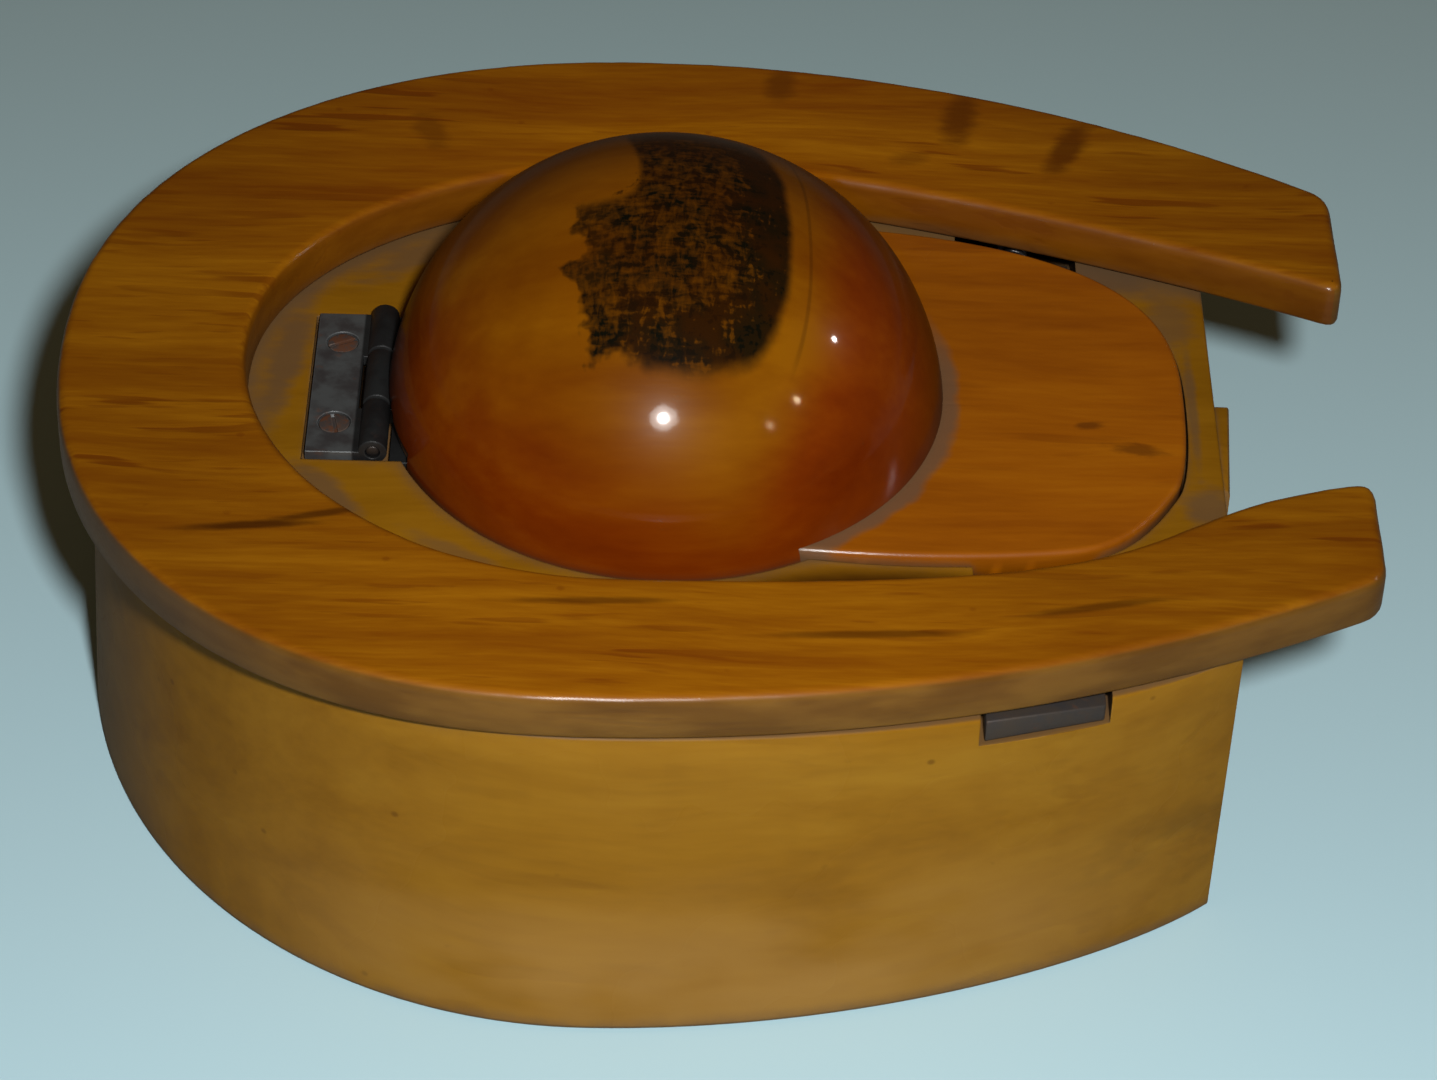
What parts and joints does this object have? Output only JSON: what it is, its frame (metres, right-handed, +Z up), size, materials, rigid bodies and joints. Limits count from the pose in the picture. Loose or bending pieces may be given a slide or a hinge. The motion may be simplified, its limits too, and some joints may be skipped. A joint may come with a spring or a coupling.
{
  "type": "horseshoe inkwell with hinged jockey cap lid",
  "caption": "Wooden horseshoe box holding a glass ink insert, with a hinged domed jockey cap lid and a push bar latch under its peak.",
  "frame": {"origin": "bottom centre of the bounding box, on the face the box stands on", "axes": "+X from the toe arch to the heels of the horseshoe, +Y away from the side where the latch bar is pushed, +Z up"},
  "size_m": [0.0954, 0.0796, 0.0452],
  "materials": {
    "box_wood": "varnished pale close-grained wood, yellow-tan, satin gloss",
    "plate_wood": "varnished amber wood with long dark flecks along the grain",
    "cap_wood": "high gloss orange-brown varnish on turned wood",
    "board_wood": "orange-brown varnish, satin",
    "boss_wood": "bare turned wood",
    "hinge_steel": "dark patinated steel",
    "pin_steel": "steel wire",
    "bar_steel": "dull worn steel",
    "screw_steel": "rusted steel",
    "spring_steel": "spring wire",
    "insert_glass": "clear pressed glass",
    "pad_leather": "dark brown leather washer",
    "screw_brass": "dull brass"
  },
  "bodies": {
    "box": {"body": "box_wood", "horseshoe_plate": "plate_wood", "hinge_base_leaf": "hinge_steel", "hinge_pin": "pin_steel", "hinge_base_screw_1": "screw_steel", "hinge_base_screw_2": "screw_steel", "ink_insert": "insert_glass", "latch_stop_pin": "pin_steel", "latch_spring": "spring_steel"},
    "lid": {"cap_dome": "cap_wood", "cap_board": "board_wood", "hinge_cap_leaf": "hinge_steel", "hinge_cap_screw_1": "screw_steel", "hinge_cap_screw_2": "screw_steel", "seal_boss": "boss_wood", "seal_pad": "pad_leather", "seal_screw": "screw_brass", "latch_hook": "bar_steel", "latch_hook_screw_1": "screw_steel", "latch_hook_screw_2": "screw_steel"},
    "latch": {"latch_bar": "bar_steel"}
  },
  "joints": [
    {"name": "lid_hinge", "type": "hinge", "parent": "box", "child": "lid", "pos_m": [-0.0244, 0, 0.0265], "axis": [0, -1, 0], "range_deg": [0, 90]},
    {"name": "latch_slide", "type": "slide", "parent": "box", "child": "latch", "axis": [0, 1, 0], "range_m": [0, 0.0025], "stiffness_N_per_m": 300, "springref_m": -0.002, "deforming": ["latch_spring"]}
  ]
}
